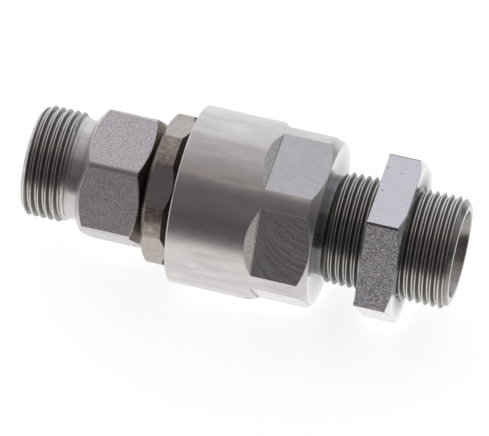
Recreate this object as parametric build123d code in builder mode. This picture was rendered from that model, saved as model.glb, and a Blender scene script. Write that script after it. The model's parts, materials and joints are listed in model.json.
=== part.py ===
from build123d import *
from math import radians, tan
import os

# Hydraulic rotary union for 15 mm tube, with a turning end and a bulkhead stem.
# X is the axis of the union, and the housing's panel face is the plane x = 0. The bulkhead stem
# points along +X, the turning end along -X, and one flat of the housing faces straight down.
# Inside, the shaft turns on two rows of rollers, one on each side of a collar that takes the thrust.

# Tube ends: 24 degree cone, light series, for 15 mm tube
thread_radius = 11.0            # M22 x 1.5, drawn as its plain major cylinder
thread_end_radius = 9.8         # foot of the 45 degree end chamfer
tube_radius = 7.5
cone_mouth_radius = 8.5
cone_half_angle = 12.0
tube_stop_depth = 7.0
flow_radius = 5.5

# Stations along the axis
shaft_face = -59.1              # end face of the turning end
hex_left = -47.7
hex_right = -34.5
nut_left = -33.6                # free face of the bearing nut
housing_left = -27.9
spigot_right = -20.9            # end of the bearing nut's spigot, where the bearing starts
chamber_right = -1.2            # bottom of the bore that the shaft turns in
stem_right = 26.1               # end face of the bulkhead stem

# Shaft
shaft_thread_length = 7.6
relief_radius = 9.85
hex_across_flats = 24.0
hex_corner_radius = 13.6
hex_face_radius = 11.0
hex_left_chamfer = 2.0
hex_right_chamfer = 1.5
hex_angle = 1.0                 # degrees about X from a flat that faces up
journal_radius = 8.5
shaft_radius = 8.0
shaft_right = -2.0
shaft_lead = 0.3

# Bearing nut
nut_radius = 14.7
nut_across_flats = 28.0
nut_angle = -23.5
nut_face_radius = 13.85
nut_chamfer = 0.6
nut_cone_left = -29.6
nut_foot_radius = 13.4
spigot_radius = 13.0
spigot_chamfer = 0.5
oring_groove_left = -27.3
oring_groove_right = -25.6
oring_groove_radius = 11.8
wiper_groove_left = -32.9
wiper_groove_right = -31.1
wiper_groove_radius = 9.9
bush_left = -30.3
bush_right = -21.2
bush_radius = 9.8

# Housing
housing_radius = 17.5
housing_across_flats = 32.0
housing_edge = 0.25
panel_face_radius = 15.85
flat_left = -10.85              # where the flats reach their full depth
runout_left = -12.62

# Bulkhead locknut
locknut_left = 9.5
locknut_width = 7.0
locknut_across_flats = 30.0
locknut_corner_radius = 17.4    # just outside the hexagon's corners
locknut_face_radius = 15.76
locknut_angle = 0.0
locknut_bore_chamfer = 0.6

# Thrust bearing
bearing_bore_radius = 12.25
race_radius = 12.2
race_thickness = 1.25
collar_radius = 11.9
collar_thickness = 3.0
roller_radius = 1.0
roller_length = 2.2
roller_count = 14
roller_circle_radius = 10.4
cage_thickness = 1.2
cage_width = 3.3
snap_ring_width = 1.2
snap_ring_groove_radius = 7.4
snap_ring_radius = 8.9
snap_ring_arc = 325.0

# Seals on the shaft
land_width = 0.6
guide_groove_width = 2.2
guide_groove_radius = 9.2
seal_groove_width = 2.4
seal_groove_radius = 10.4
glide_ring_radius = 8.8

# Fits, as clearance on the radius
running_fit = 0.03
seated_fit = 0.02
thread_fit = 0.05
pocket_play = 0.05
land_play = 0.15
race_play = 0.3

# Worked out from the above
cone_depth = (cone_mouth_radius - tube_radius) / tan(radians(cone_half_angle))
chamfer_slope = tan(radians(30))
race_gap = 2 * (roller_radius + running_fit)
collar_left = spigot_right + 2 * race_thickness + race_gap
collar_right = collar_left + collar_thickness
bearing_right = collar_right + 2 * race_thickness + race_gap
shoulder_x = collar_left - race_thickness
land_radius = shaft_radius + land_play
guide_groove_left = bearing_right + land_width
guide_groove_right = guide_groove_left + guide_groove_width
seal_groove_left = guide_groove_right + land_width
seal_groove_right = seal_groove_left + seal_groove_width
locknut_right = locknut_left + locknut_width


def turn(*section, arc=360.0):
    """Turn a closed half section, given as its (x, radius) corners, about the X axis."""
    with BuildSketch(Plane.XZ) as half:
        with BuildLine():
            Polyline(*section, close=True)
        make_face()
    revolve(half.sketch, axis=Axis.X, revolution_arc=arc)


def turn_oring(centre_x, inner, outer):
    """Turn an O-ring, flattened by its squeeze, that fills the gap between two radii."""
    squeezed_radius = (outer - inner) / 2 - seated_fit
    with BuildSketch(Plane.XZ) as half:
        with Locations((centre_x, (inner + outer) / 2)):
            RegularPolygon(squeezed_radius, 8, major_radius=False, rotation=22.5)
    revolve(half.sketch, axis=Axis.X)


def washer(left, right, inner, outer):
    """Corners of a plain ring's half section."""
    return (left, inner), (left, outer), (right, outer), (right, inner)


def tube_end(face, into):
    """Half section of a tube end, from the thread over the end face to the flow bore."""
    return (
        (face + into * (thread_radius - thread_end_radius), thread_radius),
        (face, thread_end_radius),
        (face, cone_mouth_radius),
        (face + into * cone_depth, tube_radius),
        (face + into * tube_stop_depth, tube_radius),
        (face + into * tube_stop_depth, flow_radius),
    )


def keep_hexagon(left, right, across_flats, angle):
    """Keep what lies inside a hexagonal bar between two stations."""
    with BuildSketch(Plane.YZ.offset(left)) as bar:
        RegularPolygon(across_flats / 2, 6, major_radius=False, rotation=angle)
    extrude(bar.sketch, amount=right - left, mode=Mode.INTERSECT)


def finish(builder, label):
    """Name a finished piece and write it to its own file."""
    builder.part.label = label
    export_step(builder.part, f"parts/{label}.step")


os.makedirs("parts", exist_ok=True)

# Housing: one turned body with the bearing bore, the seal lands and the bulkhead stem
with BuildPart() as housing:
    turn(
        (housing_left, spigot_radius + housing_edge),
        (housing_left, housing_radius - housing_edge),
        (housing_left + housing_edge, housing_radius),
        (panel_face_radius - housing_radius, housing_radius),
        (0, panel_face_radius),
        (0, thread_radius),
        *tube_end(stem_right, -1),
        (chamber_right, flow_radius),
        (chamber_right, land_radius),
        (seal_groove_right, land_radius),
        (seal_groove_right, seal_groove_radius),
        (seal_groove_left, seal_groove_radius),
        (seal_groove_left, land_radius),
        (guide_groove_right, land_radius),
        (guide_groove_right, guide_groove_radius),
        (guide_groove_left, guide_groove_radius),
        (guide_groove_left, land_radius),
        (bearing_right, land_radius),
        (bearing_right, bearing_bore_radius),
        (spigot_right, bearing_bore_radius),
        (spigot_right, spigot_radius + thread_fit),
        (housing_left + housing_edge, spigot_radius + thread_fit),
    )
    flat = housing_across_flats / 2
    runout_slope = (housing_radius - flat) / (flat_left - runout_left)
    for index in range(6):
        with BuildSketch(Plane.XZ.rotated((60 * index, 0, 0))):
            with BuildLine():
                Polyline(
                    (flat_left, flat),
                    (housing_radius, flat),
                    (housing_radius, 2 * flat),
                    (flat_left - flat / runout_slope, 2 * flat),
                    close=True,
                )
            make_face()
        extrude(amount=housing_radius, both=True, mode=Mode.SUBTRACT)
finish(housing, "housing")

# Bearing nut: hexagonal flange outside, threaded spigot inside the housing
with BuildPart() as bearing_nut:
    nut_bore_radius = journal_radius + race_play
    turn(
        (nut_left, nut_bore_radius),
        (nut_left, nut_face_radius),
        (nut_left + nut_chamfer, nut_radius),
        (nut_cone_left, nut_radius),
        (housing_left, nut_foot_radius),
        (housing_left, nut_bore_radius),
    )
    keep_hexagon(nut_left, housing_left, nut_across_flats, nut_angle)
    turn(
        (bush_left, bush_radius),
        (bush_left, spigot_radius),
        (oring_groove_left, spigot_radius),
        (oring_groove_left, oring_groove_radius),
        (oring_groove_right, oring_groove_radius),
        (oring_groove_right, spigot_radius),
        (spigot_right - spigot_chamfer, spigot_radius),
        (spigot_right, spigot_radius - spigot_chamfer),
        (spigot_right, bush_radius),
    )
    for left, right, radius in (
        (wiper_groove_left, wiper_groove_right, wiper_groove_radius),
        (bush_left, spigot_right, bush_radius),
    ):
        with BuildSketch(Plane.YZ.offset(left)):
            Circle(radius)
        extrude(amount=right - left, mode=Mode.SUBTRACT)
finish(bearing_nut, "bearing_nut")

# Static O-ring that seals the nut's spigot in the housing
with BuildPart() as nut_seal_ring:
    turn_oring(
        (oring_groove_left + oring_groove_right) / 2,
        oring_groove_radius,
        spigot_radius + thread_fit,
    )
finish(nut_seal_ring, "nut_seal_ring")

# Wiper: a square heel in its groove and a lip that leans outwards onto the journal
with BuildPart() as dust_wiper:
    lip_thickness = 0.7
    turn(
        (wiper_groove_left + seated_fit, wiper_groove_radius - seated_fit),
        (wiper_groove_right - seated_fit, wiper_groove_radius - seated_fit),
        (wiper_groove_right - seated_fit, journal_radius + 2 * race_play),
        (wiper_groove_left + lip_thickness, journal_radius + 2 * race_play),
        (wiper_groove_left + seated_fit, journal_radius + running_fit),
    )
finish(dust_wiper, "dust_wiper")

# Plain bush that guides the shaft in the nut
with BuildPart() as guide_bush:
    turn(*washer(bush_left, bush_right, journal_radius + running_fit, bush_radius - seated_fit))
    chamfer(guide_bush.edges().filter_by(GeomType.CIRCLE).group_by(Axis.X)[-1], 0.3)
finish(guide_bush, "guide_bush")

# Thrust bearing: the same row of rollers, mirrored on the two sides of the collar
rows = (
    ("front", spigot_right, 1, journal_radius + race_play),
    ("rear", bearing_right, -1, shaft_radius + race_play),
)
for side, wall, inward, fixed_bore in rows:
    fixed_face = wall + inward * race_thickness
    turning_face = fixed_face + inward * race_gap
    turning_back = turning_face + inward * race_thickness
    row_plane = Plane.YZ.offset((fixed_face + turning_face) / 2)

    with BuildPart() as fixed_race:
        turn(*washer(wall, fixed_face, fixed_bore, race_radius))
    finish(fixed_race, f"{side}_fixed_race")

    with BuildPart() as turning_race:
        turn(*washer(turning_face, turning_back, shaft_radius + seated_fit, collar_radius))
    finish(turning_race, f"{side}_turning_race")

    with BuildPart() as cage:
        with BuildSketch(row_plane):
            Circle(roller_circle_radius + cage_width / 2)
            Circle(roller_circle_radius - cage_width / 2, mode=Mode.SUBTRACT)
            with PolarLocations(roller_circle_radius, roller_count):
                Rectangle(
                    roller_length + 2 * pocket_play,
                    2 * (roller_radius + pocket_play),
                    mode=Mode.SUBTRACT,
                )
        extrude(amount=cage_thickness / 2, both=True)
    finish(cage, f"{side}_cage")

    with BuildPart(row_plane) as rollers:
        with PolarLocations(roller_circle_radius, roller_count):
            Cylinder(roller_radius, roller_length, rotation=(0, 90, 0))
    finish(rollers, f"{side}_rollers")

# Thrust collar, slid onto the shaft and held by the snap ring in its counterbore
with BuildPart() as thrust_collar:
    counterbore_radius = snap_ring_radius + land_play
    turn(
        (collar_left, shaft_radius + seated_fit),
        (collar_left, collar_radius),
        (collar_right, collar_radius),
        (collar_right, counterbore_radius),
        (collar_right - snap_ring_width, counterbore_radius),
        (collar_right - snap_ring_width, shaft_radius + seated_fit),
    )
finish(thrust_collar, "thrust_collar")

with BuildPart() as collar_snap_ring:
    turn(
        *washer(
            collar_right - snap_ring_width,
            collar_right - land_play,
            snap_ring_groove_radius + seated_fit,
            snap_ring_radius,
        ),
        arc=snap_ring_arc,
    )
finish(collar_snap_ring, "collar_snap_ring")

# Seals between shaft and housing: a guide ring, then a glide ring pressed down by an O-ring
with BuildPart() as shaft_guide_ring:
    turn(
        *washer(
            guide_groove_left + seated_fit,
            guide_groove_right - seated_fit,
            shaft_radius + running_fit,
            guide_groove_radius - seated_fit,
        )
    )
finish(shaft_guide_ring, "shaft_guide_ring")

with BuildPart() as glide_ring:
    turn(
        *washer(
            seal_groove_left + seated_fit,
            seal_groove_right - seated_fit,
            shaft_radius + running_fit,
            glide_ring_radius,
        )
    )
finish(glide_ring, "glide_ring")

with BuildPart() as energiser_ring:
    turn_oring(
        (seal_groove_left + seal_groove_right) / 2,
        glide_ring_radius,
        seal_groove_radius,
    )
finish(energiser_ring, "energiser_ring")

# Shaft: tube end and wrench hexagon outside, journal and bearing seats inside, drilled through
with BuildPart() as rotor_shaft:
    turn(
        (hex_left, flow_radius),
        (hex_left, hex_face_radius),
        (hex_left + hex_left_chamfer, hex_corner_radius),
        (hex_right - hex_right_chamfer, hex_corner_radius),
        (hex_right, hex_face_radius),
        (hex_right, flow_radius),
    )
    keep_hexagon(hex_left, hex_right, hex_across_flats, hex_angle)
    thread_right = shaft_face + shaft_thread_length
    turn(
        *tube_end(shaft_face, 1),
        (hex_left, flow_radius),
        (hex_left, relief_radius),
        (thread_right + (thread_radius - relief_radius) * chamfer_slope, relief_radius),
        (thread_right, thread_radius),
    )
    turn(
        (hex_right, flow_radius),
        (hex_right, journal_radius),
        (shoulder_x, journal_radius),
        (shoulder_x, shaft_radius),
        (collar_right - snap_ring_width, shaft_radius),
        (collar_right - snap_ring_width, snap_ring_groove_radius),
        (collar_right, snap_ring_groove_radius),
        (collar_right, shaft_radius),
        (shaft_right - shaft_lead, shaft_radius),
        (shaft_right, shaft_radius - shaft_lead),
        (shaft_right, flow_radius),
    )
finish(rotor_shaft, "rotor_shaft")

# Locknut: screwed on the stem, flat on the side that meets the panel, chamfered on the other
with BuildPart() as bulkhead_locknut:
    nut_thread_radius = thread_radius + thread_fit
    corner_chamfer = (locknut_corner_radius - locknut_face_radius) * chamfer_slope
    turn(
        (locknut_left, nut_thread_radius + locknut_bore_chamfer),
        (locknut_left, locknut_corner_radius),
        (locknut_right - corner_chamfer, locknut_corner_radius),
        (locknut_right, locknut_face_radius),
        (locknut_right, nut_thread_radius + locknut_bore_chamfer),
        (locknut_right - locknut_bore_chamfer, nut_thread_radius),
        (locknut_left + locknut_bore_chamfer, nut_thread_radius),
    )
    keep_hexagon(locknut_left, locknut_right, locknut_across_flats, locknut_angle)
finish(bulkhead_locknut, "bulkhead_locknut")
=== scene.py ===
"""Dress the rotary union: its four outer steel pieces, the finishes of its inner pieces, and the stage."""
import json
from math import ceil, cos, hypot, pi, radians, sin, tan

import bmesh
import bpy
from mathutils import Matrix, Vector

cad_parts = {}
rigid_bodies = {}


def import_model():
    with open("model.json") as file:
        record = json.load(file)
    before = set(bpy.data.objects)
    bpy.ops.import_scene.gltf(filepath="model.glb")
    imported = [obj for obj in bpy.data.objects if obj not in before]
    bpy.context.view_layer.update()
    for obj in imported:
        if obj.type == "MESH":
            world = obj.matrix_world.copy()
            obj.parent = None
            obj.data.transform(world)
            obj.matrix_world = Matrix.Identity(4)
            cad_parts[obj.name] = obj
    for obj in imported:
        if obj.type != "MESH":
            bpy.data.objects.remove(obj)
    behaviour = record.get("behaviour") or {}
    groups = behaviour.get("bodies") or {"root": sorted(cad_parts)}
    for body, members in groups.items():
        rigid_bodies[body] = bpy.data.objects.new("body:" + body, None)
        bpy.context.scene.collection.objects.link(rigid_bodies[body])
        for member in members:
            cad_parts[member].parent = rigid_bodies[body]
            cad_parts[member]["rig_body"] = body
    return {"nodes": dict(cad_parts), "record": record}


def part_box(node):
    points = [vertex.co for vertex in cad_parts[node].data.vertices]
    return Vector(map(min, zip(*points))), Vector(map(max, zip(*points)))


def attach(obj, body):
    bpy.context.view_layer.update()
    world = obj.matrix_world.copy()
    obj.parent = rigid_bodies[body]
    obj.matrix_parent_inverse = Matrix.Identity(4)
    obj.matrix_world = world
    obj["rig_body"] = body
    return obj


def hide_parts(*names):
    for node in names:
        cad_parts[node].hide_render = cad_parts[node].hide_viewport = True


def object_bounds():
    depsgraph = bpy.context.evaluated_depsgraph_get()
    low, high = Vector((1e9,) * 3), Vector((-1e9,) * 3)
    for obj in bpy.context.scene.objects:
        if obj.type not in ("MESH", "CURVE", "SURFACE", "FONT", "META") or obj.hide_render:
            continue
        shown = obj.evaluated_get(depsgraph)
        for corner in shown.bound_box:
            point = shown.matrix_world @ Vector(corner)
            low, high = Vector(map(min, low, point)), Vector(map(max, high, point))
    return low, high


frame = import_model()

bl_info = {
    "name": "Rotary union",
    "version": (1, 0, 0),
    "blender": (4, 5, 0),
    "location": "View3D > Sidebar > Rotary union",
    "description": "Builds the looks of a hydraulic rotary union around its packed model",
    "category": "Object",
}

mm = 0.001
CAD_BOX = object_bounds()
HOUSING_LOW, HOUSING_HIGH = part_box("housing")
SHAFT_LOW, SHAFT_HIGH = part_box("rotor_shaft")
NUT_LOW, NUT_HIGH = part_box("bearing_nut")
LOCKNUT_LOW, LOCKNUT_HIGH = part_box("bulkhead_locknut")

SEGMENTS = 144          # facets round a turned surface, and steps in one turn of a thread
MERGE = 0.004 * mm      # corners nearer than this are one corner
SHARP = radians(11)     # facets that meet at more than this keep a hard edge
HEXAGON_ANGLE = 1.0     # degrees that the shaft's hexagon is turned from the housing's flats
NUT_ANGLE = -23.5       # degrees that the bearing nut is turned from them
X_AXIS = Vector((1, 0, 0))


# Sizes and colours

def linear(code):
    """The linear colour, with alpha, of an sRGB hex code."""
    shares = [int(code[i:i + 2], 16) / 255 for i in (0, 2, 4)]
    return *[s / 12.92 if s <= 0.04045 else ((s + 0.055) / 1.055) ** 2.4 for s in shares], 1.0


def length(name, description, millimetres):
    """A size that a user may change."""
    return bpy.props.FloatProperty(
        name=name, description=description, default=millimetres * mm, unit="LENGTH", precision=5
    )


def colour(name, description, code):
    """A colour that a user may change."""
    return bpy.props.FloatVectorProperty(
        name=name, description=description, default=linear(code), subtype="COLOR", size=4, min=0, max=1
    )


class UNION_PG_thread(bpy.types.PropertyGroup):
    """The metric fine thread of both tube ends."""
    pitch: length("Pitch", "Distance from crest to crest", 1.5)
    crest_radius: length("Crest radius", "Radius over the crests", 11.0)
    root_radius: length("Root radius", "Radius at the bottom of the groove", 10.08)
    end_radius: length("End radius", "Foot of the end chamfer", 9.8)
    relief_radius: length("Relief radius", "Radius of the relief beside the thread", 9.85)


class UNION_PG_tube_end(bpy.types.PropertyGroup):
    """The 24 degree cone for a 15 mm tube."""
    mouth_radius: length("Mouth radius", "Radius where the cone opens", 8.5)
    tube_radius: length("Tube radius", "Radius of the tube's seat", 7.5)
    stop_depth: length("Stop depth", "Depth of the tube's stop", 7.0)
    flow_radius: length("Flow radius", "Radius of the drilled passage", 5.5)


class UNION_PG_housing(bpy.types.PropertyGroup):
    """The turned housing with its wrench flats and bulkhead stem."""
    across_flats: length("Across flats", "Width over two wrench flats", 32.0)
    edge: length("Edge", "Chamfer of the left rim", 0.25)
    panel_face_radius: length("Panel face radius", "Outer radius of the panel face", 15.85)
    flat_left: length("Flat left", "Where the flats reach their full depth", -10.85)
    runout_left: length("Run-out left", "Where the cutter leaves the round", -12.62)
    step: length("Step", "Height of the step between a flat and its run-out", 0.15)
    relief_width: length("Relief width", "Width of the groove at the panel face", 1.0)
    bore_radius: length("Nut bore", "Radius of the bore for the bearing nut", 13.05)


class UNION_PG_shaft(bpy.types.PropertyGroup):
    """The turning shaft with its wrench hexagon."""
    hex_left: length("Hexagon left", "Left end of the hexagon", -47.7)
    hex_right: length("Hexagon right", "Right end of the hexagon", -34.5)
    across_flats: length("Across flats", "Width over two faces of the hexagon", 24.0)
    corner_radius: length("Corner radius", "Radius of the turned corners", 13.6)
    face_radius: length("Face radius", "Radius where the chamfers start", 11.0)
    left_chamfer: length("Left chamfer", "Length of the left chamfer", 2.0)
    right_chamfer: length("Right chamfer", "Length of the right chamfer", 1.5)
    thread_length: length("Thread length", "Length of the full thread", 7.6)
    journal_radius: length("Journal radius", "Radius of the shaft in its bush", 8.5)


class UNION_PG_nuts(bpy.types.PropertyGroup):
    """The bearing nut's flange and the locknut."""
    nut_face_radius: length("Nut face radius", "Radius of the bearing nut's free face", 13.85)
    nut_chamfer: length("Nut chamfer", "Length of the bearing nut's left chamfer", 0.6)
    nut_cone_left: length("Nut cone", "Where the bearing nut starts to taper", -29.6)
    nut_foot_radius: length("Nut foot radius", "Radius at the foot of that taper", 13.4)
    nut_across_flats: length("Nut across flats", "Width over two faces of the bearing nut", 28.0)
    locknut_across_flats: length("Locknut across flats", "Width over two faces of the locknut", 30.0)
    locknut_face_radius: length("Locknut face radius", "Radius of the locknut's chamfered face", 15.76)
    edge_break: length("Edge break", "Width of the broken edges of all flats", 0.1)
    corner_break: length("Corner break", "Width of the rounded corners of hexagon and locknut", 0.3)


class UNION_PG_colours(bpy.types.PropertyGroup):
    """The colours of the finishes."""
    turned: colour("Turned steel", "Zinc on turned steel", "dedbdb")
    milled: colour("Milled flats", "Zinc on milled steel", "eaebed")
    run_out: colour("Run-outs", "Scuffed zinc where the cutter left the flats", "e6e2e0")
    corner: colour("Corners", "Film on the hexagons' rounded corners", "9b9693")
    edge: colour("Edges", "Zinc rubbed bright on the broken edges", "f0eeee")
    bar: colour("Bar faces", "Zinc on drawn bar", "eeeaed")
    groove: colour("Thread grooves", "Oily residue in the threads", "a09e98")
    phosphate: colour("Phosphate", "Brown phosphate on the bearing nut's turned faces", "b8ada4")
    rubbed_phosphate: colour("Rubbed phosphate", "Phosphate polished by the spanner", "c0b9b4")
    # Painted shade for the dark crevice between the bearing nut's taper and the housing
    nut_gap_shade: colour("Residue", "Dark residue in the nut's seat", "4d4640")
    dulled: colour("Thread chamfers", "Dulled zinc on the threads' end chamfers", "b4b1ac")
    faced: colour("Faced ends", "Clean zinc on the panel face and the end faces", "efeef0")
    locknut: colour("Locknut", "Blue zinc on the pressed locknut", "f8f8ff")


def sizes(group):
    """The sizes of one group of the scene's properties."""
    return getattr(bpy.context.scene, "union_" + group)


# Shapes

def turn(bm, section):
    """Turn an open half section, given as (x, radius) corners, about the X axis."""
    corners = [bm.verts.new((x, radius, 0)) for x, radius in section]
    lines = [bm.edges.new(pair) for pair in zip(corners, corners[1:])]
    bmesh.ops.spin(
        bm, geom=corners + lines, cent=(0, 0, 0), axis=X_AXIS, dvec=(0, 0, 0), angle=2 * pi,
        steps=SEGMENTS, use_merge=True, use_normal_flip=False, use_duplicate=False,
    )


def wind_thread(bm, left, right, envelope, material, chamfered):
    """Wind a metric thread between two stations and hold it inside an envelope, a radius at each station.

    The winding starts and ends a turn outside, and what lies there folds onto the end circles. Where the
    envelope cuts the thread down, as on the end chamfer, the cut has a finish of its own.
    """
    thread = sizes("thread")
    # A metric thread's groove has a 60 degree angle, and its crests are an eighth of the pitch wide
    flank = (thread.crest_radius - thread.root_radius) * tan(radians(60 / 2))
    crest = thread.pitch / 8
    middle_radius = (thread.crest_radius + thread.root_radius) / 2
    form = (
        (0, thread.crest_radius),
        (crest, thread.crest_radius),
        (crest + flank / 2, middle_radius),
        (crest + flank, thread.root_radius),
        (thread.pitch - flank, thread.root_radius),
        (thread.pitch - flank / 2, middle_radius),
        (thread.pitch, thread.crest_radius),
    )
    turns = ceil((right - left) / thread.pitch) + 1
    corners = [bm.verts.new((left - thread.pitch + x, radius, 0)) for x, radius in form]
    lines = [bm.edges.new(pair) for pair in zip(corners, corners[1:])]
    bmesh.ops.spin(
        bm, geom=corners + lines, cent=(0, 0, 0), axis=X_AXIS, dvec=(thread.pitch / SEGMENTS, 0, 0),
        angle=2 * pi * turns, steps=SEGMENTS * turns, use_merge=False, use_normal_flip=False,
        use_duplicate=False,
    )
    for vert in bm.verts:
        x, y, z = vert.co
        x = min(max(x, left), right)
        radius = hypot(y, z)
        share = min(radius, envelope(x)) / radius
        vert.co = (x, y * share, z * share)
    for face in bm.faces:
        cut = all(hypot(*v.co.yz) > envelope(v.co.x) - MERGE for v in face.verts)
        below_crest = face.calc_center_median().yz.length < thread.crest_radius - MERGE
        face.material_index = chamfered if cut and below_crest else material
    bmesh.ops.remove_doubles(bm, verts=bm.verts, dist=MERGE)


def close_cut(bm, plane_point, plane_normal, material):
    """Close the opening that a cut has left on a plane with one face, and return its edges."""
    rim = [
        edge for edge in bm.edges
        if edge.is_boundary and all(abs((v.co - plane_point).dot(plane_normal)) < MERGE for v in edge.verts)
    ]
    bmesh.ops.edgeloop_fill(bm, edges=rim, mat_nr=material, use_smooth=False)
    return rim


def flat_normals(angle):
    """The outward directions of a hexagon's six faces; at angle 0 one of them faces up."""
    turns = [radians(90 + angle + 60 * index) for index in range(6)]
    return [Vector((0, cos(turn_angle), sin(turn_angle))) for turn_angle in turns]


def cut_hexagon(bm, across_flats, angle, material):
    """Cut six flats over everything that stands outside a hexagonal bar."""
    for normal in flat_normals(angle):
        point = normal * across_flats / 2
        bmesh.ops.bisect_plane(
            bm, geom=bm.verts[:] + bm.edges[:] + bm.faces[:], dist=MERGE, plane_co=point, plane_no=normal,
            use_snap_center=False, clear_outer=True, clear_inner=False,
        )
        close_cut(bm, point, normal, material)


def runout_slope(housing):
    """How far a run-out goes along the axis, how far it rises, and where it would meet its flat."""
    rise = HOUSING_HIGH.y - housing.across_flats / 2 - housing.step
    run = housing.flat_left - housing.step / 2 - housing.runout_left
    return run, rise, housing.flat_left + housing.step * (run / rise - 0.5)


def mill_flats(bm, housing, flat, run_out):
    """Mill six flats into the right end of a round that has a ring of corners where the slopes meet them.

    On its left each flat ends at a steep little step, and a run-out slopes on up from there to the round.
    """
    run, rise, meeting = runout_slope(housing)
    for normal in flat_normals(0):
        foot = normal * housing.across_flats / 2 + X_AXIS * meeting
        slope = (X_AXIS * rise + normal * run).normalized()
        for plane, side in ((normal, 1), (slope, -1)):
            near = [
                face for face in bm.faces
                if side * (face.calc_center_median().x - foot.x) > 0
                and max(v.co.x for v in face.verts) <= 0
                and max(v.co.dot(normal) for v in face.verts) > foot.dot(normal)
            ]
            lines = {edge for face in near for edge in face.edges}
            corners = {vert for face in near for vert in face.verts}
            bmesh.ops.bisect_plane(
                bm, geom=list(corners) + list(lines) + near, dist=MERGE, plane_co=foot, plane_no=plane,
                use_snap_center=False, clear_outer=False, clear_inner=False,
            )
        removed = [
            face for face in bm.faces
            if (face.calc_center_median() - foot).dot(normal) > MERGE
            and (face.calc_center_median() - foot).dot(slope) > MERGE
        ]
        bmesh.ops.delete(bm, geom=removed, context="FACES")
        crease = [
            vert for vert in bm.verts
            if vert.is_boundary and all(abs((vert.co - foot).dot(plane)) < MERGE for plane in (normal, slope))
        ]
        bm.edges.new(crease)
        for plane, material in ((normal, flat), (slope, run_out)):
            rim = [
                edge for edge in bm.edges
                if len(edge.link_faces) < 2
                and all(abs((v.co - foot).dot(plane)) < MERGE for v in edge.verts)
            ]
            ramp = bmesh.ops.edgeloop_fill(bm, edges=rim, mat_nr=material, use_smooth=False)["faces"]
        # The foot of the slope becomes the step
        bmesh.ops.bisect_plane(
            bm, geom=ramp + list(ramp[0].verts) + list(ramp[0].edges), dist=MERGE,
            plane_co=X_AXIS * (housing.flat_left - housing.step / 2), plane_no=X_AXIS,
            use_snap_center=False, clear_outer=False, clear_inner=False,
        )
        for vert in bm.verts:
            height = (vert.co - foot).dot(normal)
            if abs((vert.co - foot).dot(slope)) < MERGE and -MERGE < height < housing.step + MERGE:
                vert.co.x = housing.flat_left - height / 2


def break_edges(bm, flats, width, broken, corner_width=None, rounded=None):
    """Break the edges round the flats, and any corners between flats wider, each with a finish of its own."""
    bmesh.ops.remove_doubles(bm, verts=bm.verts, dist=5 * MERGE)
    rims = {edge for face in bm.faces if face.material_index in flats for edge in face.edges}
    sharp = {edge for edge in rims if edge.is_manifold and edge.calc_face_angle(0) > SHARP}
    corners = {edge for edge in sharp if all(face.material_index in flats for face in edge.link_faces)}
    passes = [(sharp, width, broken)]
    if corner_width:
        passes = [(corners, corner_width, rounded), (sharp - corners, width, broken)]
    for edges, offset, material in passes:
        breaks = bmesh.ops.bevel(
            bm, geom=[edge for edge in edges if edge.is_valid], offset=offset, offset_type="OFFSET",
            segments=1, profile=0.5, affect="EDGES", clamp_overlap=False, material=-1,
        )
        for face in breaks["faces"]:
            face.material_index = material


def finish_piece(bm, name, node, materials):
    """Make a closed, outward-facing object of a mesh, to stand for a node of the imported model."""
    bmesh.ops.remove_doubles(bm, verts=bm.verts, dist=MERGE)
    bmesh.ops.dissolve_degenerate(bm, edges=bm.edges, dist=MERGE)
    bmesh.ops.recalc_face_normals(bm, faces=bm.faces)
    for face in bm.faces:
        face.smooth = True
    for edge in bm.edges:
        edge.smooth = edge.is_manifold and edge.calc_face_angle(0) < SHARP
    open_edges = sum(not edge.is_manifold for edge in bm.edges)
    if open_edges:
        raise RuntimeError(f"{name} has {open_edges} open edges")
    mesh = bpy.data.meshes.new(name)
    bm.to_mesh(mesh)
    bm.free()
    for material in materials:
        mesh.materials.append(material)
    piece = bpy.data.objects.new(name, mesh)
    bpy.context.scene.collection.objects.link(piece)
    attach(piece, frame["nodes"][node]["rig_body"])
    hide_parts(node)
    return piece


def tube_end(face, into):
    """Half section of a tube end's inside, from the rim to the drilled passage."""
    end = sizes("tube_end")
    cone_depth = (end.mouth_radius - end.tube_radius) / tan(radians(24 / 2))
    return [
        (face, sizes("thread").end_radius),
        (face, end.mouth_radius),
        (face + into * cone_depth, end.tube_radius),
        (face + into * end.stop_depth, end.tube_radius),
        (face + into * end.stop_depth, end.flow_radius),
    ]


# Materials

def add(tree, kind, *values, **named):
    """Add a node and feed it with values or with other nodes.

    The values go to its inputs in turn. A capitalised name is an input too, and any other is a setting.
    """
    made = tree.nodes.new("ShaderNode" + kind)
    for name, value in named.items():
        if name[0].islower():
            setattr(made, name, value)
    feeds = list(zip([socket for socket in made.inputs if socket.enabled], values))
    feeds += [
        (made.inputs[name.replace("_", " ")], value) for name, value in named.items() if name[0].isupper()
    ]
    for socket, value in feeds:
        if isinstance(value, bpy.types.Node):
            value = next(output for output in value.outputs if output.enabled)
        if isinstance(value, bpy.types.NodeSocket):
            tree.links.new(value, socket)
        else:
            socket.default_value = value
    return made


def new_material(name):
    """An empty node material and its tree."""
    material = bpy.data.materials.new(name)
    material.use_nodes = True
    material.node_tree.nodes.clear()
    return material, material.node_tree


def darker(shade, share):
    """A darker shade of a colour."""
    return *[share * c for c in shade[:3]], 1.0


class Place:
    """Where a point of a piece lies, in millimetres and radians, for a material's nodes."""

    def __init__(self, tree):
        metres = add(tree, "TexCoord").outputs["Object"]
        self.point = add(tree, "VectorMath", metres, operation="SCALE", Scale=1 / mm)
        parts = add(tree, "SeparateXYZ", self.point)
        self.x = parts.outputs["X"]
        self.y = parts.outputs["Y"]
        z = parts.outputs["Z"]
        y_squared = add(tree, "Math", self.y, 2.0, operation="POWER")
        squares = add(tree, "Math", z, z, y_squared, operation="MULTIPLY_ADD")
        self.radius = add(tree, "Math", squares, operation="SQRT")
        self.angle = add(tree, "Math", z, self.y, operation="ARCTAN2")


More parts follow.
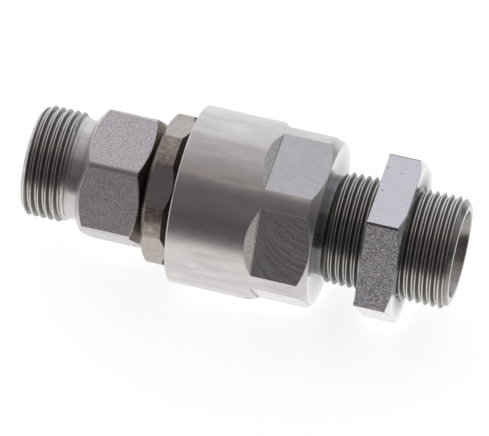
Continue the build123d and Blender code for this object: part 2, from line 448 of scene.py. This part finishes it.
def metal(tree, base, roughness, height, relief, anisotropic=0.0, metallic=1.0):
    """A surface with a relief in metres, and with tool marks round the X axis where it is anisotropic."""
    bump = add(tree, "Bump", Height=height, Distance=relief, Strength=1.0)
    inputs = {"Base_Color": base, "Metallic": metallic, "Roughness": roughness, "Normal": bump}
    if anisotropic:
        place = add(tree, "TexCoord").outputs["Object"]
        lay = add(tree, "VectorMath", X_AXIS, place, operation="CROSS_PRODUCT")
        tangent = add(
            tree, "VectorTransform", lay, vector_type="VECTOR", convert_from="OBJECT", convert_to="WORLD"
        )
        # A quarter turn from the lay, because marks blur a reflection across themselves
        inputs |= {"Anisotropic": anisotropic, "Anisotropic_Rotation": 0.25, "Tangent": tangent}
    add(tree, "OutputMaterial", Surface=add(tree, "BsdfPrincipled", **inputs))


def turned_steel(name, base, roughness=0.3, shaded_radii=None):
    """Zinc-plated turned steel: feed marks round the axis blur what lies along it, under a cloudy film.

    On a face round a thread, painted shade, standing in for the dark thread that the face mirrors and the
    shade beside it, thins out between two radii in millimetres.
    """
    material, tree = new_material(name)
    place = Place(tree)
    # Feed marks 0.15 mm apart
    rings = add(tree, "CombineXYZ", place.x, place.radius, place.angle)
    marks = add(tree, "TexNoise", Vector=rings, Scale=1 / 0.15, Detail=3.0)
    # Smears a millimetre or two wide, drawn out along the axis where the film was rubbed
    drawn_x = add(tree, "Math", place.x, 0.15, operation="MULTIPLY")
    drawn_round = add(tree, "Math", place.angle, 12.0, operation="MULTIPLY")
    drawn = add(tree, "CombineXYZ", drawn_x, drawn_round)
    smears = add(tree, "TexNoise", Vector=drawn, Scale=1 / 1.2, Detail=3.0)
    # The film is thicker in patches 5 mm wide
    cloud = add(tree, "TexNoise", Vector=place.point, Scale=1 / 5.0, Detail=2.0)
    clouded = add(tree, "MapRange", cloud, 0.35, 0.65, 0.0, 1.0)
    smeared = add(tree, "MapRange", smears, 0.4, 0.7, 0.0, 0.7)
    shade = add(tree, "Mix", clouded, base, darker(base, 0.93), data_type="RGBA")
    shade = add(tree, "Mix", smeared, shade, darker(base, 0.78), data_type="RGBA")
    # Painted shade: the face darkens towards the thread
    if shaded_radii:
        unshaded = add(tree, "MapRange", place.radius, *shaded_radii, 0.0, 1.0)
        shade = add(tree, "Mix", unshaded, darker(base, 0.1), shade, data_type="RGBA")
    rough = add(tree, "MapRange", smears, 0.3, 0.7, roughness - 0.04, roughness + 0.05)
    rough = add(tree, "Math", rough, add(tree, "MapRange", marks, 0.3, 0.7, -0.03, 0.04), operation="ADD")
    metal(tree, shade, rough, marks, 0.002 * mm, anisotropic=0.75)
    return material


def milled_steel(name, base):
    """Zinc-plated milled steel: shallow arcs that the cutter's teeth left as it was fed across each flat."""
    material, tree = new_material(name)
    place = Place(tree)
    # How far a point of a flat lies from the flat's middle line
    turned = add(tree, "Math", place.angle, pi / 2, operation="SUBTRACT")
    turned = add(tree, "Math", turned, pi / 6, -pi / 6, operation="WRAP")
    along = add(tree, "Math", place.radius, add(tree, "Math", turned, operation="SINE"), operation="MULTIPLY")
    # A cutter of 12 mm radius, its centre just outside the panel face
    cutter_radius, cutter_centre = 12.0, 0.5
    reach = add(tree, "Math", place.x, cutter_centre, operation="SUBTRACT")
    reach = add(tree, "Math", reach, 2.0, operation="POWER")
    arc = add(tree, "Math", cutter_radius ** 2, reach, operation="SUBTRACT")
    arc = add(tree, "Math", add(tree, "Math", arc, 0.0, operation="MAXIMUM"), operation="SQRT")
    swept = add(tree, "Math", along, arc, operation="SUBTRACT")
    # The cutter chatters every 2.5 mm, which bends the arcs by up to 1.5 mm
    wobble = add(tree, "TexNoise", Vector=place.point, Scale=1 / 2.5, Detail=2.0)
    swept = add(tree, "Math", wobble, 1.5, swept, operation="MULTIPLY_ADD")
    lines = add(tree, "CombineXYZ", swept, wobble)
    # Tooth marks are 0.2 mm apart; drawn every 0.7 mm, so that they show
    teeth = add(tree, "TexNoise", Vector=lines, Scale=1 / 0.7, Detail=3.0)
    # Zinc grain is finer than 0.1 mm; drawn 0.35 mm wide, so that it shows
    grain = add(tree, "TexNoise", Vector=place.point, Scale=1 / 0.35, Detail=2.0)
    height = add(tree, "Math", grain, 0.4, teeth, operation="MULTIPLY_ADD")
    speckled = add(tree, "MapRange", grain, 0.35, 0.7, 0.0, 1.0)
    lined = add(tree, "MapRange", teeth, 0.35, 0.65, 0.0, 1.0)
    clouded = add(tree, "MapRange", wobble, 0.35, 0.65, 0.0, 1.0)
    shade = add(tree, "Mix", clouded, base, darker(base, 0.84), data_type="RGBA")
    shade = add(tree, "Mix", speckled, shade, darker(base, 0.74), data_type="RGBA")
    shade = add(tree, "Mix", lined, shade, darker(base, 0.88), data_type="RGBA")
    rough = add(tree, "MapRange", teeth, 0.4, 0.62, 0.09, 0.25)
    metal(tree, shade, rough, height, 0.007 * mm)
    return material


def gritty_steel(name, base, smooth, rough, grit, depth, contrast=0.7, pits=False):
    """Plated bar or pressed steel: a smooth skin with rough grit in it that twinkles light and dark.

    The grit's width is in millimetres and its depth in metres, and contrast is the shade of its dark specks.
    """
    material, tree = new_material(name)
    place = Place(tree)
    # Real grit is about 0.1 mm wide; it comes in wider, so that it shows
    specks = add(tree, "TexNoise", Vector=place.point, Scale=1 / grit, Detail=3.0)
    # The film is thicker in patches 3 mm wide
    cloud = add(tree, "TexNoise", Vector=place.point, Scale=1 / 3.0, Detail=3.0)
    clouded = add(tree, "MapRange", cloud, 0.3, 0.7, 0.0, 1.0)
    speckled = add(tree, "MapRange", specks, 0.35, 0.7, 0.0, 1.0)
    shade = add(tree, "Mix", clouded, base, darker(base, 0.95), data_type="RGBA")
    shade = add(tree, "Mix", speckled, shade, darker(base, contrast), data_type="RGBA")
    if pits:
        # Dark pits 0.3 mm wide, 2.4 mm apart
        cells = add(tree, "TexVoronoi", Vector=place.point, Scale=1 / 2.4)
        pitted = add(tree, "MapRange", cells.outputs["Distance"], 0.05, 0.09, 1.0, 0.0)
        shade = add(tree, "Mix", pitted, shade, darker(base, 0.3), data_type="RGBA")
    # Another noise, so that dark grit isn't always the rough grit
    moved_point = add(tree, "VectorMath", place.point, (7.0, 3.0, 5.0), operation="ADD")
    tooth = add(tree, "TexNoise", Vector=moved_point, Scale=1 / grit, Detail=2.0)
    metal(tree, shade, add(tree, "MapRange", tooth, 0.43, 0.61, smooth, rough), specks, depth)
    return material


def thread_steel(name, crest_shade, groove):
    """Rolled thread: bright rubbed crests and roots, with a dull oily film on the flanks between them."""
    material, tree = new_material(name)
    thread = sizes("thread")
    place = Place(tree)
    root, crest = thread.root_radius / mm, thread.crest_radius / mm
    # Specks of dried film 0.4 mm wide
    specks = add(tree, "TexNoise", Vector=place.point, Scale=1 / 0.4, Detail=3.0)
    speckled = add(tree, "MapRange", specks, 0.3, 0.7, 0.0, 1.0)
    film = add(tree, "Mix", speckled, groove, darker(groove, 0.7), data_type="RGBA")
    rubbed_crest = add(tree, "MapRange", place.radius, crest - 0.16, crest - 0.03, 0.0, 1.0)
    rubbed_root = add(tree, "MapRange", place.radius, root + 0.05, root + 0.15, 0.7, 0.0)
    rubbed = add(tree, "Math", rubbed_crest, rubbed_root, operation="MAXIMUM")
    shade = add(tree, "Mix", rubbed, film, darker(crest_shade, 0.88), data_type="RGBA")
    # Painted shadow of the locknut and the housing: the stem's thread darkens towards the panel face
    unshadowed_share = add(tree, "MapRange", add(tree, "Math", place.x, operation="ABSOLUTE"), 8.0, 16.0, 0.72, 1.0)
    shade = add(tree, "Mix", unshadowed_share, darker(groove, 0.1), shade, data_type="RGBA")
    rough = add(tree, "MapRange", rubbed, 0.0, 1.0, 0.36, 0.24)
    metal(tree, shade, rough, specks, 0.003 * mm)
    return material


def plain_finish(name, code, metallic, roughness, grain, depth):
    """Finish of an inner piece: one colour with a slight grain, whose width is in millimetres."""
    material, tree = new_material(name)
    base = linear(code)
    specks = add(tree, "TexNoise", Vector=Place(tree).point, Scale=1 / grain, Detail=3.0)
    shade = add(tree, "Mix", specks, base, darker(base, 0.75), data_type="RGBA")
    rough = add(tree, "MapRange", specks, 0.3, 0.7, roughness - 0.05, roughness + 0.05)
    metal(tree, shade, rough, specks, depth, metallic=metallic)
    return material


# Pieces

class UNION_OT_housing(bpy.types.Operator):
    """Build the turned housing with its milled flats and threaded stem"""
    bl_idname = "union.housing"
    bl_label = "Housing"

    def execute(self, context):
        housing, thread, end = sizes("housing"), sizes("thread"), sizes("tube_end")
        left, right, outer = HOUSING_LOW.x, HOUSING_HIGH.x, HOUSING_HIGH.y
        relief_end = housing.relief_width
        shoulder = outer - housing.panel_face_radius
        # Inside, the flow passage opens into the seal's bore, then the bearings' and then the nut's
        seal_bore, seal_right = 8.15 * mm, -1.2 * mm
        bearing_bore, bearing_right = 12.25 * mm, left + 18.12 * mm
        nut_right = -20.9 * mm
        bore_edge = 0.2 * mm
        # Places in the list of finishes below, whose first is the turned one
        milled, threaded, run_out, edge, faced, dulled = range(1, 7)

        def envelope(x):
            return min(thread.relief_radius + (x - relief_end), thread.end_radius + (right - x))

        bm = bmesh.new()
        wind_thread(bm, relief_end, right, envelope, threaded, dulled)
        turn(bm, [
            *tube_end(right, -1),
            (seal_right, end.flow_radius),
            (seal_right, seal_bore),
            (bearing_right, seal_bore),
            (bearing_right, bearing_bore),
            (nut_right, bearing_bore),
            (nut_right, housing.bore_radius),
            (left + housing.edge, housing.bore_radius),
            (left, housing.bore_radius + bore_edge),
            (left, outer - housing.edge),
            (left + housing.edge, outer),
            (runout_slope(housing)[2], outer),
            (-shoulder, outer),
            (0, housing.panel_face_radius),
            (0, thread.relief_radius),
            (relief_end, thread.relief_radius),
        ])
        bmesh.ops.remove_doubles(bm, verts=bm.verts, dist=MERGE)
        mill_flats(bm, housing, milled, run_out)
        break_edges(bm, (milled, run_out), sizes("nuts").edge_break, edge)
        bm.normal_update()
        for face in bm.faces:
            middle = face.calc_center_median()
            in_cone = middle.x > right - end.stop_depth and middle.yz.length < end.mouth_radius
            on_panel_face = abs(face.normal.x) > 0.99 and abs(middle.x) < MERGE
            in_relief = 0 < middle.x < relief_end and middle.yz.length < thread.relief_radius
            if in_cone:
                face.material_index = dulled
            elif on_panel_face or in_relief:
                face.material_index = faced
        colours = sizes("colours")
        finish_piece(bm, "turned_housing", "housing", [
            turned_steel("turned_zinc_steel", colours.turned),
            milled_steel("milled_zinc_steel", colours.milled),
            thread_steel("stem_thread_steel", colours.edge, colours.groove),
            gritty_steel(
                "scuffed_run_out_steel", colours.run_out, smooth=0.26, rough=0.4, grit=0.4, depth=0.01 * mm,
            ),
            gritty_steel(
                "rubbed_housing_edge_steel", colours.edge, smooth=0.4, rough=0.5, grit=0.4, depth=0.01 * mm,
            ),
            # The faced finish has painted shade round the stem's thread
            turned_steel("faced_housing_steel", colours.faced, roughness=0.16, shaded_radii=(8.0, 15.5)),
            gritty_steel(
                "dulled_stem_end_steel", colours.dulled, smooth=0.2, rough=0.3, grit=0.3, depth=0.003 * mm,
            ),
        ])
        return {"FINISHED"}


class UNION_OT_shaft(bpy.types.Operator):
    """Build the turning shaft with its thread and wrench hexagon"""
    bl_idname = "union.shaft"
    bl_label = "Turning shaft"

    def execute(self, context):
        shaft, thread, end = sizes("shaft"), sizes("thread"), sizes("tube_end")
        left, right = SHAFT_LOW.x, SHAFT_HIGH.x
        # The thread fades out over this length, down to the neck
        fade = 1.8 * mm
        thread_right = left + shaft.thread_length + fade
        fade_slope = (thread.crest_radius - thread.relief_radius) / fade
        # From the shoulder on, the shaft is thinner, through the bearings and the seal
        shoulder, seal_radius = -17.59 * mm, 8.0 * mm
        lead, tip_radius = 0.3 * mm, 7.7 * mm
        # Places in the list of finishes below
        turned, bar, threaded, corner, dulled = range(5)

        def envelope(x):
            return min(thread.end_radius + (x - left), thread.relief_radius + (thread_right - x) * fade_slope)

        bm = bmesh.new()
        wind_thread(bm, left, thread_right, envelope, threaded, turned)
        turn(bm, [
            (thread_right, thread.relief_radius),
            (shaft.hex_left, thread.relief_radius),
            (shaft.hex_left, shaft.face_radius),
            (shaft.hex_left + shaft.left_chamfer, shaft.corner_radius),
            (shaft.hex_right - shaft.right_chamfer, shaft.corner_radius),
            (shaft.hex_right, shaft.face_radius),
            (shaft.hex_right, shaft.journal_radius),
            (shoulder, shaft.journal_radius),
            (shoulder, seal_radius),
            (right - lead, seal_radius),
            (right, tip_radius),
            (right, end.flow_radius),
            *reversed(tube_end(left, 1)),
        ])
        bmesh.ops.remove_doubles(bm, verts=bm.verts, dist=MERGE)
        cut_hexagon(bm, shaft.across_flats, HEXAGON_ANGLE, bar)
        break_edges(bm, (bar,), sizes("nuts").edge_break, bar, sizes("nuts").corner_break, corner)
        # Painted shade: turned faces from the hexagon's right chamfer onwards take the darker dulled finish,
        # standing in for the dark gap between hexagon and bearing nut
        for face in bm.faces:
            shaded_by_nut = face.calc_center_median().x > shaft.hex_right - shaft.right_chamfer
            if face.material_index == turned and shaded_by_nut:
                face.material_index = dulled
        colours = sizes("colours")
        finish_piece(bm, "turning_shaft_body", "rotor_shaft", [
            turned_steel("turned_shaft_steel", colours.turned),
            gritty_steel(
                "hexagon_bar_steel", colours.bar, smooth=0.28, rough=0.48, grit=0.27, depth=0.014 * mm,
                contrast=0.52,
            ),
            thread_steel("shaft_thread_steel", colours.edge, colours.groove),
            gritty_steel(
                "rounded_bar_corner_steel", colours.corner, smooth=0.12, rough=0.2, grit=0.3,
                depth=0.003 * mm,
            ),
            # Here the dulled finish is painted shade for the gap beside the bearing nut
            gritty_steel(
                "shaded_nut_gap_steel", colours.dulled, smooth=0.2, rough=0.3, grit=0.3, depth=0.003 * mm,
            ),
        ])
        return {"FINISHED"}


class UNION_OT_bearing_nut(bpy.types.Operator):
    """Build the bearing nut between the hexagon and the housing"""
    bl_idname = "union.bearing_nut"
    bl_label = "Bearing nut"

    def execute(self, context):
        nuts = sizes("nuts")
        left, right, outer = NUT_LOW.x, NUT_HIGH.x, NUT_HIGH.z
        seat = HOUSING_LOW.x
        # Outside, the spigot has a groove for its seal ring
        spigot, tip_radius, lead = 13.0 * mm, 12.5 * mm, 0.5 * mm
        ring_groove, ring_left, ring_right = 11.8 * mm, -27.3 * mm, -25.6 * mm
        # Inside are a seat for the bush and a groove for the wiper
        bore = 8.8 * mm
        bush_seat, bush_left = 9.8 * mm, -30.3 * mm
        wiper_groove, wiper_left, wiper_right = 9.9 * mm, -32.9 * mm, -31.1 * mm
        # Places in the list of finishes below
        turned, rubbed, nut_gap_shade = range(3)

        bm = bmesh.new()
        turn(bm, [
            (left, bore),
            (left, nuts.nut_face_radius),
            (left + nuts.nut_chamfer, outer),
            (nuts.nut_cone_left, outer),
            (seat, nuts.nut_foot_radius),
            (seat, spigot),
            (ring_left, spigot),
            (ring_left, ring_groove),
            (ring_right, ring_groove),
            (ring_right, spigot),
            (right - lead, spigot),
            (right, tip_radius),
            (right, bush_seat),
            (bush_left, bush_seat),
            (bush_left, bore),
            (wiper_right, bore),
            (wiper_right, wiper_groove),
            (wiper_left, wiper_groove),
            (wiper_left, bore),
            (left, bore),
        ])
        bmesh.ops.remove_doubles(bm, verts=bm.verts, dist=MERGE)
        cut_hexagon(bm, nuts.nut_across_flats, NUT_ANGLE, rubbed)
        break_edges(bm, (rubbed,), nuts.edge_break, turned)
        bm.normal_update()
        # Painted shade: the taper towards the housing takes the dark finish, standing in for the crevice
        # between nut and housing
        for face in bm.faces:
            if nuts.nut_cone_left < face.calc_center_median().x < seat and abs(face.normal.x) > 0.3:
                face.material_index = nut_gap_shade
        colours = sizes("colours")
        finish_piece(bm, "bearing_nut_body", "bearing_nut", [
            gritty_steel(
                "phosphated_turned_steel", colours.phosphate, smooth=0.24, rough=0.34, grit=0.9,
                depth=0.01 * mm, contrast=0.55,
            ),
            gritty_steel(
                "rubbed_phosphated_steel", colours.rubbed_phosphate, smooth=0.12, rough=0.26, grit=0.8,
                depth=0.004 * mm, contrast=0.8,
            ),
            # This dark finish is painted shade for the crevice at the housing
            gritty_steel("painted_nut_gap_shade", colours.nut_gap_shade, smooth=0.4, rough=0.5, grit=0.5, depth=0.01 * mm),
        ])
        return {"FINISHED"}


class UNION_OT_locknut(bpy.types.Operator):
    """Build the bulkhead locknut"""
    bl_idname = "union.locknut"
    bl_label = "Locknut"

    def execute(self, context):
        nuts = sizes("nuts")
        left, right = LOCKNUT_LOW.x, LOCKNUT_HIGH.x
        blank_radius = 17.4 * mm
        chamfer = (blank_radius - nuts.locknut_face_radius) * tan(radians(30))
        bore = 11.05 * mm
        lead = 0.6 * mm
        # Places in the list of finishes below, whose first is the faced one
        pressed, edge, corner, sawn = range(1, 5)

        bm = bmesh.new()
        turn(bm, [
            (left, bore + lead),
            (left, blank_radius),
            (right - chamfer, blank_radius),
            (right, nuts.locknut_face_radius),
            (right, bore + lead),
            (right - lead, bore),
            (left + lead, bore),
            (left, bore + lead),
        ])
        bmesh.ops.remove_doubles(bm, verts=bm.verts, dist=MERGE)
        cut_hexagon(bm, nuts.locknut_across_flats, 0, pressed)
        for face in bm.faces:
            if face.calc_center_median().x < left + MERGE:
                face.material_index = sawn
        break_edges(bm, (pressed,), nuts.edge_break, edge, nuts.corner_break, corner)
        colours = sizes("colours")
        finish_piece(bm, "locknut_body", "bulkhead_locknut", [
            # The faced finish has painted shade round the bore, next to the thread
            turned_steel("faced_nut_steel", colours.locknut, roughness=0.16, shaded_radii=(11.9, 14.8)),
            gritty_steel(
                "pressed_nut_steel", colours.locknut, smooth=0.1, rough=0.58, grit=0.27, depth=0.035 * mm,
                contrast=0.95, pits=True,
            ),
            gritty_steel(
                "rubbed_locknut_edge_steel", colours.edge, smooth=0.14, rough=0.22, grit=0.3,
                depth=0.003 * mm,
            ),
            gritty_steel(
                "rounded_locknut_corner_steel", colours.corner, smooth=0.12, rough=0.2, grit=0.3,
                depth=0.003 * mm,
            ),
            gritty_steel(
                "sawn_nut_steel", colours.locknut, smooth=0.4, rough=0.6, grit=0.3, depth=0.01 * mm,
                contrast=0.84,
            ),
        ])
        return {"FINISHED"}


class UNION_OT_inner_finishes(bpy.types.Operator):
    """Give the bearing, bush and seal pieces inside the union their finishes"""
    bl_idname = "union.inner_finishes"
    bl_label = "Inner finishes"

    def execute(self, context):
        finishes = {
            "bearing_steel": plain_finish("ground_bearing_steel", "cfd0d2", 1.0, 0.2, 0.3, 0.002 * mm),
            "spring_steel": plain_finish("blued_spring_steel", "5c6370", 1.0, 0.35, 0.3, 0.003 * mm),
            "brass": plain_finish("machined_brass", "d0a050", 1.0, 0.3, 0.4, 0.003 * mm),
            "bronze": plain_finish("sintered_bronze", "b07d48", 1.0, 0.5, 0.25, 0.01 * mm),
            "nitrile_rubber": plain_finish("moulded_nitrile_rubber", "1c1b1b", 0.0, 0.6, 0.3, 0.003 * mm),
            "polyurethane": plain_finish("moulded_polyurethane", "23415f", 0.0, 0.4, 0.3, 0.003 * mm),
            "ptfe": plain_finish("filled_ptfe", "4a453e", 0.0, 0.5, 0.2, 0.002 * mm),
        }
        for part in frame["record"]["subparts"]:
            finish = finishes.get(part["material_slot"])
            if finish:
                mesh = frame["nodes"][part["node"]].data
                mesh.materials.clear()
                mesh.materials.append(finish)
        return {"FINISHED"}


class UNION_OT_stage(bpy.types.Operator):
    """Lay the pale floor, set the soft light and place the camera"""
    bl_idname = "union.stage"
    bl_label = "Stage"

    def execute(self, context):
        scene = context.scene
        scene.view_settings.view_transform = "Standard"
        self.lay_floor(scene)
        self.light(scene)
        self.place_camera(scene)
        return {"FINISHED"}

    def lay_floor(self, scene):
        """A white floor that touches the round of the housing, 3 m from its middle to each side."""
        bm = bmesh.new()
        bmesh.ops.create_grid(bm, x_segments=1, y_segments=1, size=3.0)
        bmesh.ops.translate(bm, verts=bm.verts, vec=(0, 0, CAD_BOX[0].z))
        mesh = bpy.data.meshes.new("floor")
        bm.to_mesh(mesh)
        bm.free()
        material, tree = new_material("white_floor")
        place = Place(tree)
        # Gloss sees the lit table fade towards the front, which is the way of -Y
        near = add(tree, "MapRange", place.y, -200.0, -40.0, 0.55, 0.95)
        far = add(tree, "MapRange", place.y, -330.0, -170.0, 0.22, 1.0)
        lit = add(tree, "Math", near, far, operation="MULTIPLY")
        # and darken to the right of the stem, though not far in front of it
        aside = add(tree, "MapRange", place.x, 35.0, 120.0, 1.0, 0.12)
        front = add(tree, "MapRange", place.y, -100.0, -50.0, 0.9, 0.0)
        aside = add(tree, "Math", aside, front, operation="MAXIMUM")
        lit = add(tree, "Math", lit, aside, operation="MULTIPLY")
        # The front is a little warmer
        coolness = add(tree, "MapRange", place.y, -80.0, 20.0, 0.0, 1.0)
        tint = add(tree, "Mix", coolness, linear("fffaf7"), linear("ffffff"), data_type="RGBA")
        table = add(tree, "Emission", Color=tint, Strength=lit)
        # The camera sees the lit paint and a glow that brings it up to white
        glow = add(tree, "Emission", Color=linear("ffffff"), Strength=0.74)
        paint = add(tree, "BsdfDiffuse", Color=linear("f2f2f2"))
        white = add(tree, "AddShader", paint, glow)
        rays = add(tree, "LightPath").outputs
        gloss = add(tree, "MixShader", rays["Is Glossy Ray"], white, table)
        # Light that the floor throws on other things is its paint's alone
        plain = add(tree, "MixShader", rays["Is Diffuse Ray"], gloss, paint)
        add(tree, "OutputMaterial", Surface=plain)
        mesh.materials.append(material)
        floor = bpy.data.objects.new("floor", mesh)
        scene.collection.objects.link(floor)

    def light(self, scene):
        """A light tent: bright behind, softer overhead, dark towards the front."""
        world = bpy.data.worlds.new("light_tent")
        scene.world = world
        world.use_nodes = True
        tree = world.node_tree
        tree.nodes.clear()
        direction = add(tree, "SeparateXYZ", add(tree, "TexCoord").outputs["Generated"]).outputs
        angle = add(tree, "Math", direction["Z"], direction["Y"], operation="ARCTAN2")
        walls = add(tree, "ValToRGB", add(tree, "MapRange", angle, 0.0, pi, 0.0, 1.0))
        # Degrees up from the horizon behind the union, over its top and down to the front
        shades = {
            0: "f8f8fb", 37: "f1f1f6", 46: "cbc7cc", 70: "cdc7ca", 83: "aba6a5", 100: "aea8a6",
            107: "7d7776", 118: "6d696f", 138: "716c6d", 152: "5c5659", 172: "5c5659", 180: "686463",
        }
        stops = walls.color_ramp.elements
        while len(stops) < len(shades):
            stops.new(0.5)
        for stop, (degrees, code) in zip(stops, shades.items()):
            stop.position = degrees / 180
            stop.color = linear(code)
        # The right hand side is dimmer the further round it is
        side = add(tree, "MapRange", direction["X"], 0.3, 0.95, 1.0, 0.3)
        tent = add(tree, "Mix", side, linear("000000"), walls, data_type="RGBA")
        # The backdrop itself is white
        rays = add(tree, "LightPath").outputs
        seen = add(tree, "Mix", rays["Is Camera Ray"], tent, linear("ffffff"), data_type="RGBA")
        add(tree, "OutputWorld", Surface=add(tree, "Background", Color=seen, Strength=1.0))

    def place_camera(self, scene):
        """A long lens, looking down on the union from its front right."""
        azimuth, elevation = radians(15.87), radians(52.38)
        middle = Vector((-16.3, 0, 0)) * mm
        distance = 895.6
        aim = Vector((-16.31, -1.85, -1.37)) * mm
        back = Vector((sin(azimuth) * cos(elevation), -cos(azimuth) * cos(elevation), sin(elevation)))
        data = bpy.data.cameras.new("camera")
        data.sensor_width = 36
        data.lens = 341.6
        data.clip_start, data.clip_end = 0.05, 20
        camera = bpy.data.objects.new("camera", data)
        camera.location = middle + back * distance * mm
        camera.rotation_euler = (aim - camera.location).to_track_quat("-Z", "Y").to_euler()
        scene.collection.objects.link(camera)
        scene.camera = camera


OPERATORS = (
    UNION_OT_housing,
    UNION_OT_shaft,
    UNION_OT_bearing_nut,
    UNION_OT_locknut,
    UNION_OT_inner_finishes,
    UNION_OT_stage,
)
GROUPS = {
    "thread": UNION_PG_thread,
    "tube_end": UNION_PG_tube_end,
    "housing": UNION_PG_housing,
    "shaft": UNION_PG_shaft,
    "nuts": UNION_PG_nuts,
    "colours": UNION_PG_colours,
}


class UNION_PT_panel(bpy.types.Panel):
    """Lists the steps that dress the rotary union."""
    bl_idname = "UNION_PT_panel"
    bl_label = "Rotary union"
    bl_space_type = "VIEW_3D"
    bl_region_type = "UI"
    bl_category = "Rotary union"

    def draw(self, context):
        for operator in OPERATORS:
            self.layout.operator(operator.bl_idname)
        for name, group in GROUPS.items():
            box = self.layout.box()
            box.label(text=name.replace("_", " ").capitalize())
            for prop in group.__annotations__:
                box.prop(sizes(name), prop)


def register():
    for name, group in GROUPS.items():
        bpy.utils.register_class(group)
        setattr(bpy.types.Scene, "union_" + name, bpy.props.PointerProperty(type=group))
    for kind in (*OPERATORS, UNION_PT_panel):
        bpy.utils.register_class(kind)


def unregister():
    for kind in (UNION_PT_panel, *reversed(OPERATORS)):
        bpy.utils.unregister_class(kind)
    for name, group in GROUPS.items():
        delattr(bpy.types.Scene, "union_" + name)
        bpy.utils.unregister_class(group)


def main():
    register()
    for operator in OPERATORS:
        area, name = operator.bl_idname.split(".")
        getattr(getattr(bpy.ops, area), name)()


if __name__ == "__main__":
    main()
